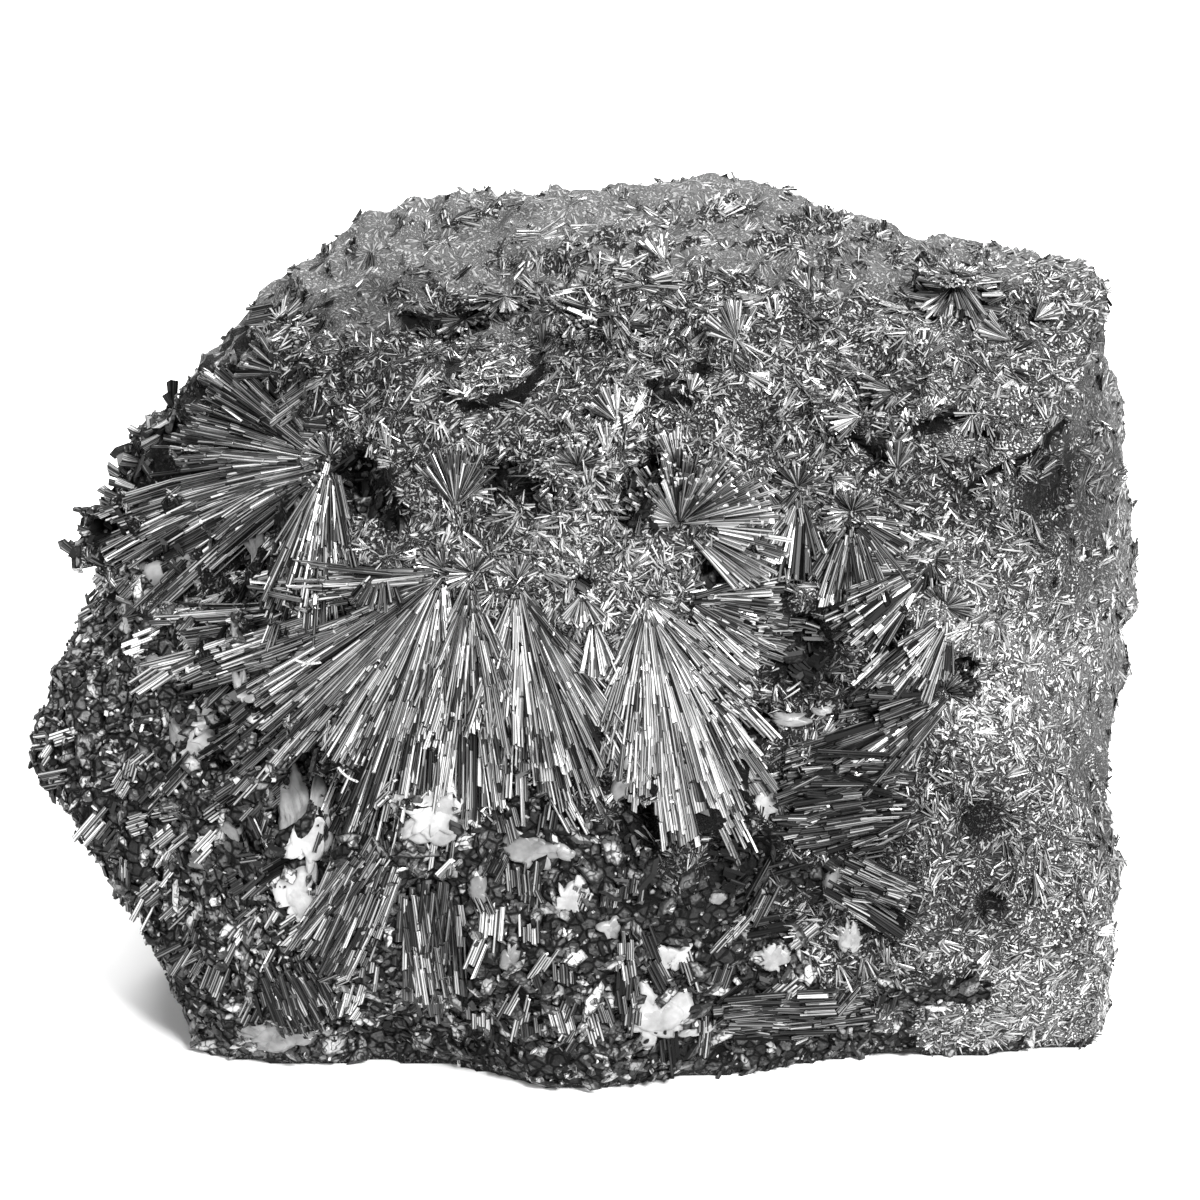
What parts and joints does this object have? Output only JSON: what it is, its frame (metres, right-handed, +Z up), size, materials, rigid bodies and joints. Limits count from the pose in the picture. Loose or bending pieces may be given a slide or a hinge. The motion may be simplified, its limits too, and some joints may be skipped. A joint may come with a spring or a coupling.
{
  "type": "pyrolusite crystal cluster",
  "caption": "Blocky chunk of dark metallic-grey mineral covered in radiating sprays of needle crystals, with white grains between them, standing on a flat base.",
  "frame": {"origin": "on the surface it rests on, under the middle of its bounding box", "axes": "+Z up, +X along its length to the right as the crystal-covered front is seen, -Y out of that front"},
  "size_m": [0.0905, 0.0604, 0.0626],
  "materials": {
    "massive_pyrolusite": "matte",
    "needle_pyrolusite": "satin",
    "white_gangue": "satin"
  },
  "bodies": {
    "root": {"bundle_foot_left": "needle_pyrolusite", "bundle_foot_right": "needle_pyrolusite", "bundle_right": "needle_pyrolusite", "bundle_right_diagonal": "needle_pyrolusite", "bundle_upright": "needle_pyrolusite", "gangue_foot_large": "white_gangue", "gangue_foot_left": "white_gangue", "gangue_foot_right": "white_gangue", "gangue_foot_upper": "white_gangue", "gangue_left_end": "white_gangue", "gangue_left_large": "white_gangue", "gangue_left_lower": "white_gangue", "gangue_middle": "white_gangue", "gangue_middle_large": "white_gangue", "gangue_middle_lower": "white_gangue", "gangue_right": "white_gangue", "massive_body": "massive_pyrolusite", "rosette_dark_heart": "needle_pyrolusite", "rosette_top_middle": "needle_pyrolusite", "rosette_top_right": "needle_pyrolusite", "rosette_upper_middle": "needle_pyrolusite", "slabs_left_end": "needle_pyrolusite", "spray_centre": "needle_pyrolusite", "spray_centre_bright": "needle_pyrolusite", "spray_centre_right": "needle_pyrolusite", "spray_fan_right": "needle_pyrolusite", "spray_lower_left": "needle_pyrolusite", "spray_right_rim_lower": "needle_pyrolusite", "spray_right_rim_middle": "needle_pyrolusite", "spray_right_rim_upper": "needle_pyrolusite", "spray_upper_left": "needle_pyrolusite", "spray_upper_right": "needle_pyrolusite"}
  },
  "joints": []
}
